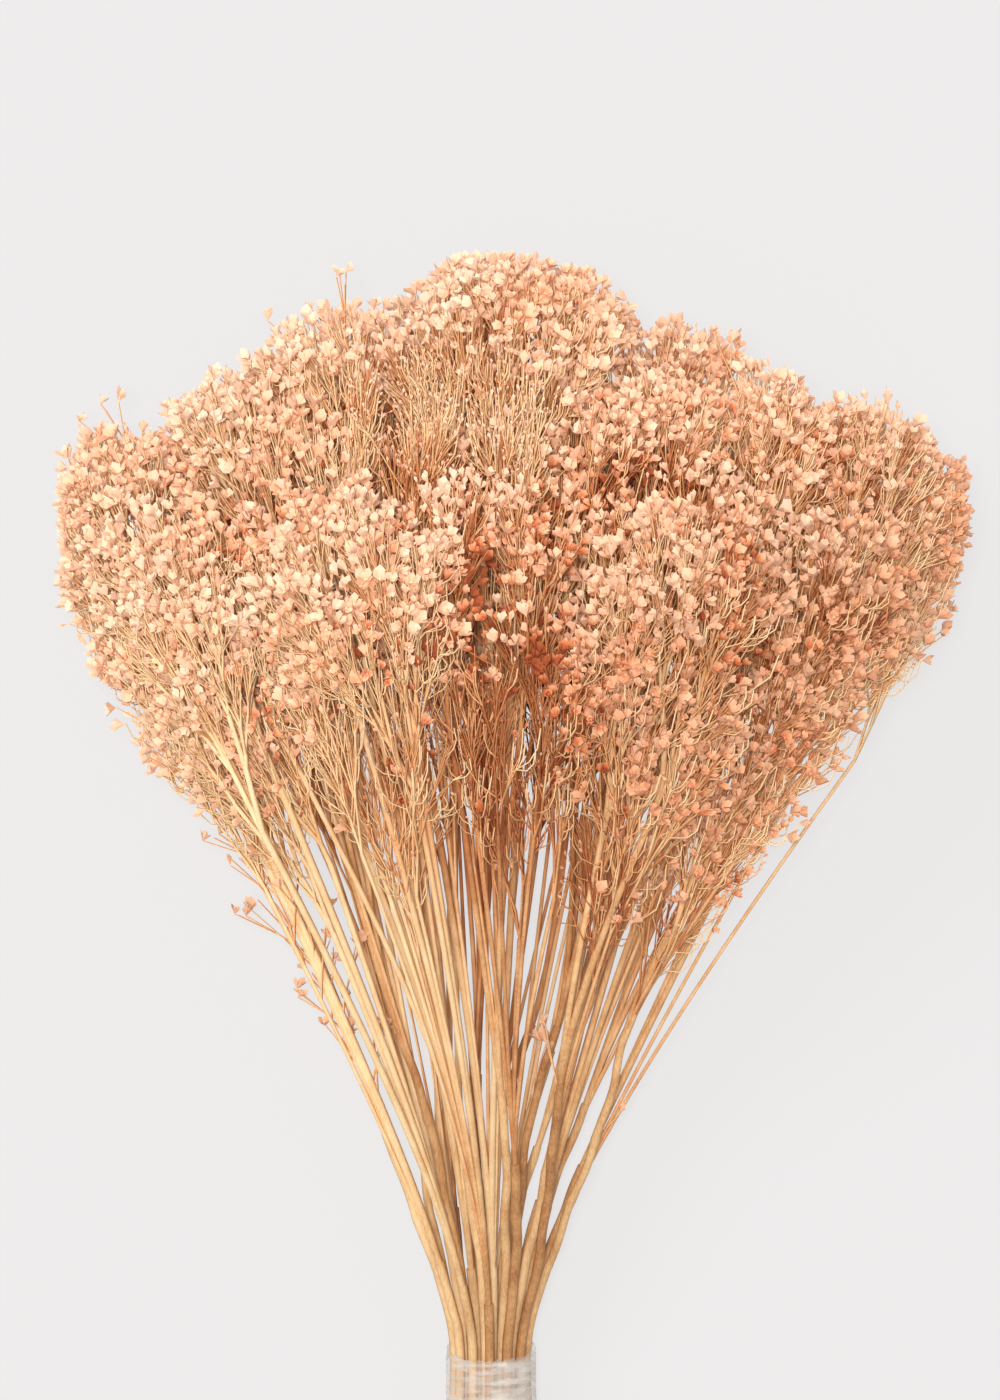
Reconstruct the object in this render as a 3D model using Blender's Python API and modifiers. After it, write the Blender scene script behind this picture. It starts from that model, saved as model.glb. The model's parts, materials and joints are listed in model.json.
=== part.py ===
"""A dried broom bundle, lying on its side as it would be put down on a table.

Twenty-nine dried stems are gathered in a narrow tie and flare out above it, like a trumpet. Each stem
is cut square at its foot, runs up to its main fork, and there splits into limbs that carry one flowering
spray. The sprays stand side by side and make one wide, lumpy head.

The shape is worked out in the bundle's own axes and then laid down by one empty:
    x   across the bundle
    y   along it, from the cut feet to the flowers, measured as height above the tie's upper edge
    z   through it, towards what faces up once it lies down
A stem keeps its place in the bundle's cross-section from the tie to the flowers, so stems never meet.
"""

import math
import random

import bpy
import bmesh
from mathutils import Vector, noise

MM = 0.001
WELD = 0.001 * MM

# Along the bundle, as heights above the tie's upper edge
FOOT_HEIGHT = -103 * MM
TIE_WIDTH = 42 * MM
TWIST_ENDS = 150 * MM
FLARE_HEIGHT = 330 * MM

# Across the bundle, where a stem's place is given in shares of the half-width
TIED_RADIUS = 17.4 * MM
FOOT_FLARE = 0.10
HEAD_HALF_WIDTH = 187 * MM
HEAD_ASIDE = 7 * MM
HEAD_TOP_DEPTH = 0.74
HEAD_UNDER_DEPTH = 0.78
FLARE_POWER = 1.27
FLARE_SOFTNESS = 12 * MM
FLARE_SETTLED = 12
FLATTENED_HEIGHT = 200 * MM
TWIST = math.radians(24)
SPREAD_HEIGHT = 210 * MM
PLACE_DRIFT = 0.075
PLACE_SEED = 5

# How it lies: the tilt of its axis, and how far below the axis its feet touch the table
LYING_TILT = math.radians(13.5)
FOOT_REST = 18.5 * MM

# Stems and limbs
RING_RADII = (0.0, 0.33, 0.61, 0.875)
RING_STARTS = (0.0, 36.0, 18.0, 5.0)
STEM_RADII = (1.75 * MM, 2.15 * MM)
STEM_TAPER = 0.12
STEM_STEP = 28 * MM
STEM_SEED = 29
FORK_HEIGHTS = (22 * MM, 150 * MM)
STEM_SWAY = 0.055
SWAY_LENGTH = 33 * MM
SWAY_SKEW = 0.8
FACE_GAP = 0.3 * MM
LIMB_COUNTS = (2, 3, 3)
LEADER_THICKNESS = 0.85
SIDE_LIMB_THICKNESS = 0.62
LIMB_TIP_RADIUS = 0.85 * MM
FIRST_LIMB_RISE = 5 * MM
LIMB_SPACING = 15 * MM
LIMB_LEAN = 0.34
LIMB_ARCH = 0.8
LIMB_SETTLING = 1.6
LEADER_REACH = 0.42
SIDE_LIMB_REACH = 0.8 * LEADER_REACH
LIMB_STEPS = 4

# Height of each spray's crown, ring by ring, anticlockwise from the bundle's right-hand side
CROWN_TOPS = (
    (456,),
    (408, 388, 428, 440, 420),
    (410, 378, 374, 372, 405, 400, 394, 390, 390, 392),
    (398, 362, 374, 328, 370, 364, 382, 374, 362, 352, 364, 358, 378),
)
# How far down each crown reaches
CROWN_FEET = (
    (335,),
    (305, 290, 318, 322, 320),
    (290, 262, 262, 258, 286, 290, 272, 270, 272, 290),
    (284, 182, 196, 232, 226, 222, 236, 232, 224, 222, 220, 224, 272),
)
# The form of a crown: a domed top over a funnel, with lumps, and lower towards the head's rim
WIDEST_SHARE = 0.64
DOME_FULLNESS = 0.32
FUNNEL_FULLNESS = 0.72
DOME_RISE = 0.6
FUNNEL_DROP = 0.9
SHOULDER_START = 0.72
SHOULDER_DROP = 26 * MM
EDGE_DROP = 9 * MM
LUMP = 0.12
LUMP_SIZE = 21 * MM
LUMP_STRETCH = 2.2
CROWN_SEGMENTS = 10
CROWN_RINGS = 7
SPRAY_GAP = 0.006
FORWARD = 1e-6
SMOOTH_ANGLE = math.radians(35)

# The tie: a thin film wound round the stems
FILM = 0.7 * MM
FILM_CLEARANCE = 0.45 * MM
FILM_FOLD = math.radians(4)
FILM_SLIP = 0.02 * TIE_WIDTH

STRAW = (0.72, 0.47, 0.24, 1.0)
PEACH = (0.86, 0.52, 0.30, 1.0)
MILKY = (0.82, 0.74, 0.66, 1.0)


def smooth(share):
    """Eases from 0 to 1 as share goes from 0 to 1."""
    share = min(1.0, max(0.0, share))
    return share * share * (3 - 2 * share)


def half_width(height):
    """Half the bundle's width at a height above the tie."""
    if height <= 0:
        return TIED_RADIUS * (1 + FOOT_FLARE * smooth(height / FOOT_HEIGHT))
    flared = TIED_RADIUS + (HEAD_HALF_WIDTH - TIED_RADIUS) * (height / FLARE_HEIGHT) ** FLARE_POWER
    over = (flared - HEAD_HALF_WIDTH) / FLARE_SOFTNESS
    if over > FLARE_SETTLED:
        return HEAD_HALF_WIDTH
    return flared - FLARE_SOFTNESS * math.log1p(math.exp(over))


def floor_under(height):
    """Where the table lies below the bundle's axis, in the bundle's own axes."""
    return -(FOOT_REST + (height - FOOT_HEIGHT) * math.tan(LYING_TILT))


def place(across, through, height):
    """A point of the bundle: shares of its half-width across and its half-depth through, at a height."""
    turn = -TWIST * (1 - smooth(height / TWIST_ENDS))
    x = across * math.cos(turn) - through * math.sin(turn)
    z = across * math.sin(turn) + through * math.cos(turn)
    depth = HEAD_TOP_DEPTH if z > 0 else HEAD_UNDER_DEPTH
    depth = 1 + (depth - 1) * smooth(height / FLATTENED_HEIGHT)
    half = half_width(height)
    aside = HEAD_ASIDE * smooth(height / FLARE_HEIGHT)
    return Vector((aside + x * half, height, max(z * half * depth, floor_under(height))))


def stem_places():
    """Each stem's place in the tie and in the head, and its crown's top and foot, ring by ring."""
    draw = random.Random(PLACE_SEED)
    places = []
    for radius, start, tops, feet in zip(RING_RADII, RING_STARTS, CROWN_TOPS, CROWN_FEET):
        for k, (top, foot) in enumerate(zip(tops, feet)):
            angle = math.radians(start) + math.tau * k / len(tops)
            tied = Vector((radius * math.cos(angle), radius * math.sin(angle)))
            drift = Vector((draw.uniform(-1, 1), draw.uniform(-1, 1))) * PLACE_DRIFT
            spread = tied + drift
            spread *= min(1.0, RING_RADII[-1] / spread.length)
            places.append((tied, spread, top * MM, foot * MM))
    return places


PLACES = stem_places()


def reach(index, angle):
    """How far a spray can grow from its stem in one direction before it meets the next spray or the rim."""
    here = PLACES[index][1]
    direction = Vector((math.cos(angle), math.sin(angle)))
    outward = here.dot(direction)
    best = -outward + math.sqrt(outward**2 + 1 - here.length_squared)
    for other, place_there in enumerate(PLACES):
        between = place_there[1] - here
        facing = between.dot(direction)
        if other != index and facing > FORWARD:
            best = min(best, (between.length / 2 - SPRAY_GAP) * between.length / facing)
    return best


def material(name, colour, roughness):
    made = bpy.data.materials.new(name)
    made.use_nodes = True
    shader = made.node_tree.nodes["Principled BSDF"]
    shader.inputs["Base Color"].default_value = colour
    shader.inputs["Roughness"].default_value = roughness
    return made


def tube(name, points, radii, resolution):
    """A closed mesh tube through the points, thick as the radii say."""
    curve = bpy.data.curves.new("route", "CURVE")
    curve.dimensions = "3D"
    curve.bevel_depth = 1.0
    curve.bevel_resolution = resolution
    curve.use_fill_caps = True
    line = curve.splines.new("POLY")
    line.points.add(len(points) - 1)
    for point, position, radius in zip(line.points, points, radii):
        point.co = (*position, 1)
        point.radius = radius
    route = bpy.data.objects.new("route", curve)
    bpy.context.scene.collection.objects.link(route)
    bpy.context.view_layer.update()
    solid = as_mesh(route, name)
    bpy.data.objects.remove(route)
    bpy.data.curves.remove(curve)
    return solid


def as_mesh(source, name):
    """The evaluated shape of an object as a plain mesh object, its caps welded."""
    graph = bpy.context.evaluated_depsgraph_get()
    mesh = bpy.data.meshes.new_from_object(source.evaluated_get(graph))
    shape = bmesh.new()
    shape.from_mesh(mesh)
    bmesh.ops.remove_doubles(shape, verts=shape.verts, dist=WELD)
    bmesh.ops.recalc_face_normals(shape, faces=shape.faces)
    shape.to_mesh(mesh)
    shape.free()
    solid = bpy.data.objects.new(name, mesh)
    solid.matrix_world = source.matrix_world
    return solid


def joined(name, pieces):
    """One solid from pieces that overlap."""
    first = pieces[0]
    for piece in pieces:
        bpy.context.scene.collection.objects.link(piece)
    for piece in pieces[1:]:
        union = first.modifiers.new("join", "BOOLEAN")
        union.operation = "UNION"
        union.solver = "EXACT"
        union.object = piece
    bpy.context.view_layer.update()
    solid = as_mesh(first, name)
    for piece in pieces:
        bpy.data.objects.remove(piece)
    return solid


def stem_line(index, heights, sway):
    """Points of a stem: it keeps its place in the cross-section and sways a little above the tie."""
    tied, spread, _, _ = PLACES[index]
    points = []
    for height in heights:
        spot = tied.lerp(spread, smooth(height / SPREAD_HEIGHT))
        drift = STEM_SWAY * smooth(height / TWIST_ENDS)
        bend = sway + height / SWAY_LENGTH
        x = spot.x + drift * math.sin(bend)
        z = spot.y + drift * math.cos(bend * SWAY_SKEW)
        points.append(place(x, z, height))
    return points


def stem(index, radius, fork, sway):
    """One woody stem, from its square-cut foot to just under its main fork."""
    heights = [FOOT_HEIGHT, -TIE_WIDTH, 0.0]
    steps = max(2, round(fork / STEM_STEP))
    heights += [(fork - FACE_GAP) * k / steps for k in range(1, steps + 1)]
    taper = [1.0 - STEM_TAPER * smooth(height / TWIST_ENDS) for height in heights]
    return tube(
        f"stem_{index + 1:02d}",
        stem_line(index, heights, sway),
        [radius * share for share in taper],
        resolution=1,
    )


def crown(index):
    """The flowering crown of a spray: a lumpy dome over a funnel, which fills its share of the head."""
    _, spread, top, foot = PLACES[index]
    widest = foot + WIDEST_SHARE * (top - foot)
    shape = bmesh.new()
    bmesh.ops.create_uvsphere(shape, u_segments=CROWN_SEGMENTS, v_segments=CROWN_RINGS, radius=1.0)
    for vertex in shape.verts:
        rise = max(-1.0, min(1.0, vertex.co.z))
        angle = math.atan2(vertex.co.y, vertex.co.x)
        level = math.sqrt(1 - rise * rise)
        share = level ** (DOME_FULLNESS if rise > 0 else FUNNEL_FULLNESS)
        limit = reach(index, angle)
        here = place(spread.x + limit * math.cos(angle), spread.y + limit * math.sin(angle), widest)
        lump = LUMP * (0.5 + 0.5 * noise.noise(here / LUMP_SIZE + Vector((0, rise * LUMP_STRETCH, 0))))
        span = limit * share * (1 - lump)
        x = spread.x + span * math.cos(angle)
        z = spread.y + span * math.sin(angle)
        shoulder = max(0.0, math.hypot(x, z) - SHOULDER_START) / (1 - SHOULDER_START)
        summit = top - EDGE_DROP * share**2 - SHOULDER_DROP * shoulder**2 * share
        if rise > 0:
            height = widest + (summit - widest) * rise**DOME_RISE
        else:
            height = widest - (widest - foot) * (-rise) ** FUNNEL_DROP
        vertex.co = place(x, z, min(height, summit))
    bmesh.ops.recalc_face_normals(shape, faces=shape.faces)
    mesh = bpy.data.meshes.new("crown")
    shape.to_mesh(mesh)
    shape.free()
    return bpy.data.objects.new("crown", mesh)


def limb(index, radius, start, sway, number, of):
    """One limb, from the main fork up into the crown."""
    _, spread, top, foot = PLACES[index]
    angle = math.tau * number / of + sway
    lean = LIMB_LEAN * reach(index, angle)
    end = foot + (SIDE_LIMB_REACH if number else LEADER_REACH) * (top - foot)
    points, radii = [], []
    for k in range(LIMB_STEPS + 1):
        share = k / LIMB_STEPS
        height = start + (end - start) * share
        aside = lean * share**LIMB_ARCH
        swung = stem_line(index, [height], sway)[0]
        grown = place(spread.x + aside * math.cos(angle), spread.y + aside * math.sin(angle), height)
        points.append(swung.lerp(grown, smooth(share * LIMB_SETTLING)))
        radii.append(radius + (LIMB_TIP_RADIUS - radius) * share)
    return tube(f"limb_{number}", points, radii, resolution=0)


def flower_spray(index, radius, fork, sway, limbs):
    """One flowering spray: the limbs above a stem's main fork and the crown on them, grown as one piece."""
    pieces = [crown(index), limb(index, radius * LEADER_THICKNESS, fork, sway, 0, limbs)]
    for number in range(1, limbs):
        start = fork + FIRST_LIMB_RISE + LIMB_SPACING * (number - 1)
        pieces.append(limb(index, radius * SIDE_LIMB_THICKNESS, start, sway, number, limbs))
    return joined(f"flower_spray_{index + 1:02d}", pieces)


def tie_band():
    """The film wound round the stems: a thin band that runs straight from one outer stem to the next."""
    outer = len(CROWN_TOPS[-1])
    bpy.ops.mesh.primitive_cylinder_add(
        vertices=2 * outer,
        radius=1.0,
        depth=TIE_WIDTH,
        end_fill_type="NOTHING",
    )
    band = bpy.context.object
    band.name = "tie_band"
    band.data.name = "tie_band"
    rings = {}
    for vertex in band.data.vertices:
        rings.setdefault(vertex.co.z > 0, []).append(vertex)
    for above, ring in rings.items():
        ring.sort(key=lambda v: math.atan2(v.co.y, v.co.x) % math.tau)
        height = 0.0 if above else -TIE_WIDTH
        radius = half_width(height) * RING_RADII[-1] + STEM_RADII[1] + FILM_CLEARANCE
        for k, vertex in enumerate(ring):
            side = FILM_FOLD if k % 2 else -FILM_FOLD
            angle = math.radians(RING_STARTS[-1]) - TWIST + math.tau * (k // 2) / outer + side
            vertex.co = Vector((radius * math.cos(angle), height - FILM_SLIP, radius * math.sin(angle)))
    shape = bmesh.new()
    shape.from_mesh(band.data)
    bmesh.ops.recalc_face_normals(shape, faces=shape.faces)
    shape.to_mesh(band.data)
    shape.free()
    wall = band.modifiers.new("film", "SOLIDIFY")
    wall.thickness = FILM
    wall.offset = 1.0
    return band


def clear_scene():
    for old in list(bpy.data.objects):
        bpy.data.objects.remove(old)


def lay_down(pieces):
    """Parents the pieces to one empty that lays the bundle down, its footprint centred on the origin."""
    bundle = bpy.data.objects.new("lying_bundle", None)
    bpy.context.scene.collection.objects.link(bundle)
    bundle.rotation_euler.x = LYING_TILT
    for piece in pieces:
        piece.parent = bundle
    bpy.context.view_layer.update()
    graph = bpy.context.evaluated_depsgraph_get()
    corners = []
    for piece in pieces:
        shown = piece.evaluated_get(graph)
        corners += [shown.matrix_world @ vertex.co for vertex in shown.data.vertices]
    low = Vector(min(c[i] for c in corners) for i in range(3))
    high = Vector(max(c[i] for c in corners) for i in range(3))
    bundle.location = (-(low.x + high.x) / 2, -(low.y + high.y) / 2, -low.z)


def main():
    clear_scene()
    straw = material("dried straw stem", STRAW, 0.7)
    peach = material("dyed papery florets", PEACH, 0.85)
    milky = material("milky film", MILKY, 0.35)
    draw = random.Random(STEM_SEED)
    holder = bpy.data.collections.new("dried_broom_bundle")
    bpy.context.scene.collection.children.link(holder)
    pieces = []
    for index in range(len(PLACES)):
        radius = draw.uniform(*STEM_RADII)
        fork = draw.uniform(*FORK_HEIGHTS)
        sway = draw.uniform(0, math.tau)
        limbs = draw.choice(LIMB_COUNTS)
        pieces.append(stem(index, radius, fork, sway))
        pieces[-1].data.materials.append(straw)
        pieces.append(flower_spray(index, radius, fork, sway, limbs))
        pieces[-1].data.materials.clear()
        pieces[-1].data.materials.append(peach)
    for piece in pieces:
        holder.objects.link(piece)
        piece.data.shade_smooth()
        piece.data.set_sharp_from_angle(angle=SMOOTH_ANGLE)
    pieces.append(tie_band())
    pieces[-1].data.materials.append(milky)
    lay_down(pieces)


main()
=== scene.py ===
"""A dried broom bundle, lying on a pale table and seen from straight above.

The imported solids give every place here: each stem's line, each crown's surface and the tie's box. The woody
parts are grown again with their forks down to the last twig, and each twig ends in a papery floret.
"""

import json
import math

import bpy
import bmesh
import numpy as np
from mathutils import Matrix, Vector, noise
from mathutils.bvhtree import BVHTree

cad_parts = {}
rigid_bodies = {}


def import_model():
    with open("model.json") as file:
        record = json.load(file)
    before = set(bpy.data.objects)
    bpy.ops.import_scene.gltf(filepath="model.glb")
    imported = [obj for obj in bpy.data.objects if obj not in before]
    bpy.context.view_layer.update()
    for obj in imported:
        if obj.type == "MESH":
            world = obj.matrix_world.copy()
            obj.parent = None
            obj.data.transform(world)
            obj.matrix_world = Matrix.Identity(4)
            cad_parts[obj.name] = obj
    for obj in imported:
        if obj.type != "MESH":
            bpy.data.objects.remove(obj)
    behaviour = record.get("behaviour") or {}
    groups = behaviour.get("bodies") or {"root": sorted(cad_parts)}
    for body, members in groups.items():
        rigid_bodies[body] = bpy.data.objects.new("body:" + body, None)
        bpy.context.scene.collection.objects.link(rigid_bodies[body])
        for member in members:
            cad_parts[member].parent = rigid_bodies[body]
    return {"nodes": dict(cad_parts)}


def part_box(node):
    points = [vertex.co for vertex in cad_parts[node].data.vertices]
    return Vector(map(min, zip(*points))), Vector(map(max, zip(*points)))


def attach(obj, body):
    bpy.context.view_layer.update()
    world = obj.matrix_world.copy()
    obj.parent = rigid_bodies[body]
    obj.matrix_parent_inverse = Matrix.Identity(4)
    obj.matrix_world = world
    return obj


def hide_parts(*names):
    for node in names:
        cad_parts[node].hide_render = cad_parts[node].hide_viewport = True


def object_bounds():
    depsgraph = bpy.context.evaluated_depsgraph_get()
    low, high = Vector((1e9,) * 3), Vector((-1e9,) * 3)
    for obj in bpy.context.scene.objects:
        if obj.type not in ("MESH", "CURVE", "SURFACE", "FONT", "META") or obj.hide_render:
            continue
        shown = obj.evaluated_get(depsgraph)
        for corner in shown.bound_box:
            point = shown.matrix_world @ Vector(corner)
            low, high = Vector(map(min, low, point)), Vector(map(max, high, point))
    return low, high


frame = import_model()
packed_box = np.array(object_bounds())
MM = 0.001


# ---- Table, light and camera -------------------------------------------------------------------------
# A painted table under an even sky. Most of the light comes from a lamp close over the camera, so that the
# florets show few shadows. A wide soft lamp at the upper left leaves the lower right of each clump darker.

TABLE_WHITE = "d1cfcf"
PALE_TONE = "eeecec"
PALE_SHARE = 0.82
TABLE_WIDTH = 12
SKY_STRENGTH = 0.46
LAMPS = (
    ("upper_left_lamp", (-1.5, 1.2, 3.2), 34, 1.6),
    ("overhead_lamp", (-0.1, 0.16, 4.0), 114, 0.4),
)
LAMPS_AIM = Vector((0, 0.1, 0.1))
VIEW_HEIGHT = 0.560
VIEW_CENTRE = (-0.0051, 0.0965)
CAMERA_HEIGHT = 3.0
HALF_HEIGHT = 0.14


def linear(colour):
    """An sRGB hex colour as the linear values that shaders work in."""
    values = [int(colour[k : k + 2], 16) / 255 for k in (0, 2, 4)]
    return (*[v / 12.92 if v <= 0.04045 else ((v + 0.055) / 1.055) ** 2.4 for v in values], 1.0)


def add_node(tree, kind, links=None, inputs=None, **settings):
    """Adds a node with its own settings, its inputs' values, and the links that come into it."""
    node = tree.nodes.new(kind)
    for name, value in settings.items():
        setattr(node, name, value)
    for key, value in (inputs or {}).items():
        node.inputs[key].default_value = value
    for key, source in (links or {}).items():
        tree.links.new(source, node.inputs[key])
    return node


def new_material(name):
    """A new material with its node tree and its Principled BSDF."""
    material = bpy.data.materials.new(name)
    material.use_nodes = True
    return material, material.node_tree, material.node_tree.nodes["Principled BSDF"]


def pale_where_seen(tree, shader, share):
    """Mixes an even pale tone into a surface or sky, but only where it is seen, mirrored or behind film."""
    ray = add_node(tree, "ShaderNodeLightPath")
    seen = add_node(
        tree, "ShaderNodeMath", {0: ray.outputs["Is Camera Ray"], 1: ray.outputs["Is Glossy Ray"]},
        operation="MAXIMUM",
    )
    seen = add_node(
        tree, "ShaderNodeMath", {0: seen.outputs[0], 1: ray.outputs["Is Transmission Ray"]},
        operation="MAXIMUM",
    )
    seen = add_node(tree, "ShaderNodeMath", {0: seen.outputs[0]}, {1: share}, operation="MULTIPLY")
    pale = add_node(tree, "ShaderNodeEmission", inputs={"Color": linear(PALE_TONE), "Strength": 1.0})
    return add_node(
        tree, "ShaderNodeMixShader", {0: seen.outputs[0], 1: shader.outputs[0], 2: pale.outputs[0]}
    )


# Emulsion paint on board, rolled on: it has no gloss and reads as one even pale field, with only the faint
# soft shadow that the bundle lays on it.
rolled_paint, tree, shader = new_material("matt painted table")
shader.inputs["Base Color"].default_value = linear(TABLE_WHITE)
shader.inputs["Roughness"].default_value = 0.9
shader.inputs["Specular IOR Level"].default_value = 0.2
tree.links.new(
    pale_where_seen(tree, shader, PALE_SHARE).outputs[0], tree.nodes["Material Output"].inputs["Surface"]
)

bpy.ops.mesh.primitive_plane_add(size=TABLE_WIDTH, location=(0, 0, 0))
table = bpy.context.object
table.name = "table_top"
table.data.materials.append(rolled_paint)

world = bpy.data.worlds.new("even sky")
bpy.context.scene.world = world
world.use_nodes = True
tree = world.node_tree
sky = tree.nodes["Background"]
sky.inputs["Color"].default_value = linear("ffffff")
sky.inputs["Strength"].default_value = SKY_STRENGTH
tree.links.new(pale_where_seen(tree, sky, 1.0).outputs[0], tree.nodes["World Output"].inputs["Surface"])

for name, place, power, width in LAMPS:
    lamp_data = bpy.data.lights.new(name, "AREA")
    lamp_data.shape = "DISK"
    lamp_data.size = width
    lamp_data.energy = power
    lamp = bpy.data.objects.new(name, lamp_data)
    bpy.context.scene.collection.objects.link(lamp)
    lamp.location = place
    lamp.rotation_euler = (LAMPS_AIM - lamp.location).to_track_quat("-Z", "Y").to_euler()

camera_data = bpy.data.cameras.new("camera")
camera_data.sensor_fit = "VERTICAL"
camera_data.angle = 2 * math.atan(VIEW_HEIGHT / 2 / (CAMERA_HEIGHT - HALF_HEIGHT))
camera = bpy.data.objects.new("camera", camera_data)
bpy.context.scene.collection.objects.link(camera)
camera.location = (*VIEW_CENTRE, CAMERA_HEIGHT)
bpy.context.scene.camera = camera
bpy.context.scene.view_settings.view_transform = "Standard"


# ---- Straw and its dye -------------------------------------------------------------------------------
# The wood of every stem and twig: smooth straw bark, cut green and air-dried. The flowers were dipped in
# peach dye, which ran a little way down the stems and took best on thin twigs. Painted shade: the inner
# stems, the wood under the head's middle and the wood in the hollows get the dye's darker colour and a lower
# tone.

TILT = math.radians(13.5)
ALONG = np.array((0, math.cos(TILT), math.sin(TILT)))
THROUGH = np.array((0, -math.sin(TILT), math.cos(TILT)))
TIE_MOUTH = np.mean([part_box("tie_band")[0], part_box("tie_band")[1]], axis=0)
DYED_UNDER = 1.5 * MM
DYED_FROM = -60 * MM
DYE_FADES = 120 * MM
INNER_UNDER = 18 * MM
INNER_FADES = 30 * MM
OUTER_DYE = 0.3
# Painted shade: the inner stems and the shaded places take more of the dye's darker colour.
INNER_PAINTED_SHADE_DYE = 0.6
PAINTED_SHADE_DYE = 0.7
# Painted shade: how much lower the wood's tone is in the shaded places.
PAINTED_SHADE_DARKENING = 0.38
FIBRE_WIDTH = 0.7 * MM
FIBRE_LENGTH = 18 * MM
BLOTCH_WIDTH = 12 * MM
FIBRE_SHARE = 0.5
BLOTCH_SHARE = 0.5
BARK_TONE = -0.47
MIX_A, MIX_B, MIX_RESULT = 6, 7, 2

# Each place of painted shade: across, along, half-width and half-length. The first lies under the head's
# middle, where the head shades the stems, and the others are hollows between the clumps of flowers.
PAINTED_SHADE_PLACES = np.array((
    (-18, 60, 60, 50), (55, 181, 24, 10), (-104, 168, 20, 10), (-32, 183, 24, 6), (-14, 146, 9, 22),
    (12, 114, 12, 20), (86, 112, 22, 8), (20, 168, 16, 7),
)) * MM


def painted_shade_at(point):
    """How deep a place lies in a hollow of the head or under its middle: how strong the painted shade is
    there.
    """
    off = (np.array(point[:2]) - PAINTED_SHADE_PLACES[:, :2]) / PAINTED_SHADE_PLACES[:, 2:]
    return math.exp(-(off**2).sum(axis=1).min())


def dye_and_shade_at(point, radius):
    """How much of the dye's colour the bark gets: thin twigs all of it, stems near the flowers some; the
    extra on inner stems and in the shaded places is painted shade.
    """
    height = min(1.0, max(0.0, (np.dot(point, ALONG) - DYED_FROM) / DYE_FADES))
    inside = min(1.0, max(0.0, (INNER_UNDER - np.dot(point - TIE_MOUTH, THROUGH)) / INNER_FADES))
    ran_down = height * (OUTER_DYE + INNER_PAINTED_SHADE_DYE * inside)
    return max(ran_down, PAINTED_SHADE_DYE * painted_shade_at(point), 1 - radius / DYED_UNDER)


class Strands:
    """Lines of points with a radius each, gathered for one piece, and the florets that they carry."""

    def __init__(self):
        self.points, self.radii, self.shades, self.edges = [], [], [], []
        self.tips, self.aims, self.sizes, self.kinds, self.blushes_and_painted_light = [], [], [], [], []

    def line(self, points, radii, shade):
        """Adds a line of wood, with one shade for all of it or one for each point."""
        first = len(self.points)
        self.points += [tuple(p) for p in points]
        self.radii += [float(r) for r in radii]
        self.shades += np.broadcast_to(shade, len(points)).tolist()
        self.edges += [(k, k + 1) for k in range(first, first + len(points) - 1)]

    def floret(self, tip, aim, size, kind, blush_and_painted_light):
        """Adds a floret that opens along its aim."""
        self.tips.append(tuple(tip))
        self.aims.append(tuple(aim))
        self.sizes.append(float(size))
        self.kinds.append(int(kind))
        self.blushes_and_painted_light.append(float(blush_and_painted_light))

    def mesh(self, name):
        """One mesh: the lines as edges, and each floret as a lone point."""
        mesh = bpy.data.meshes.new(name)
        mesh.from_pydata(self.points + self.tips, self.edges, [])
        bare, tips = len(self.points), len(self.tips)
        # Painted shade: wood in the hollows and under the head's middle gets a lower tone.
        wood_shades = [s - PAINTED_SHADE_DARKENING * painted_shade_at(p) for s, p in zip(self.shades, self.points)]
        columns = {
            "radius": ("FLOAT", self.radii + [0.0] * tips),
            "shade": ("FLOAT", wood_shades + self.blushes_and_painted_light),
            "dye_and_painted_shade": ("FLOAT", [dye_and_shade_at(p, r) for p, r in zip(self.points, self.radii)] + [0.0] * tips),
            "size": ("FLOAT", [0.0] * bare + self.sizes),
            "kind": ("INT", [-1] * bare + self.kinds),
        }
        for key, (form, values) in columns.items():
            mesh.attributes.new(key, form, "POINT").data.foreach_set("value", values)
        aims = np.array([(0.0, 0.0, 1.0)] * bare + self.aims)
        mesh.attributes.new("aim", "FLOAT_VECTOR", "POINT").data.foreach_set("vector", aims.ravel())
        return mesh


def set_stops(ramp, colours):
    """Fills a colour ramp from place: sRGB hex colour."""
    stops = ramp.color_ramp.elements
    while len(stops) < len(colours):
        stops.new(0.5)
    for stop, (spot, colour) in zip(stops, sorted(colours.items())):
        stop.position = spot
        stop.color = linear(colour)


# Straw bark, air-dried: long fibres and slow blotches run from brown to cream along each stem, with a dull
# sheen. A fibre is drawn some ten times as wide as a real one, so that it shows.
dried_straw, tree, shader = new_material("dried straw bark")
shader.inputs["Roughness"].default_value = 0.6
shader.inputs["Specular IOR Level"].default_value = 0.35
place = add_node(tree, "ShaderNodeTexCoord")
along_fibres = add_node(
    tree, "ShaderNodeMapping", {"Vector": place.outputs["Object"]},
    inputs={"Rotation": (-TILT, 0, 0), "Scale": (1 / FIBRE_WIDTH, 1 / FIBRE_LENGTH, 1 / FIBRE_WIDTH)},
)
fibres = add_node(
    tree, "ShaderNodeTexNoise", {"Vector": along_fibres.outputs[0]}, {"Scale": 1.0, "Detail": 3.0}
)
blotches = add_node(
    tree, "ShaderNodeTexNoise", {"Vector": place.outputs["Object"]}, {"Scale": 1 / BLOTCH_WIDTH}
)
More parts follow.
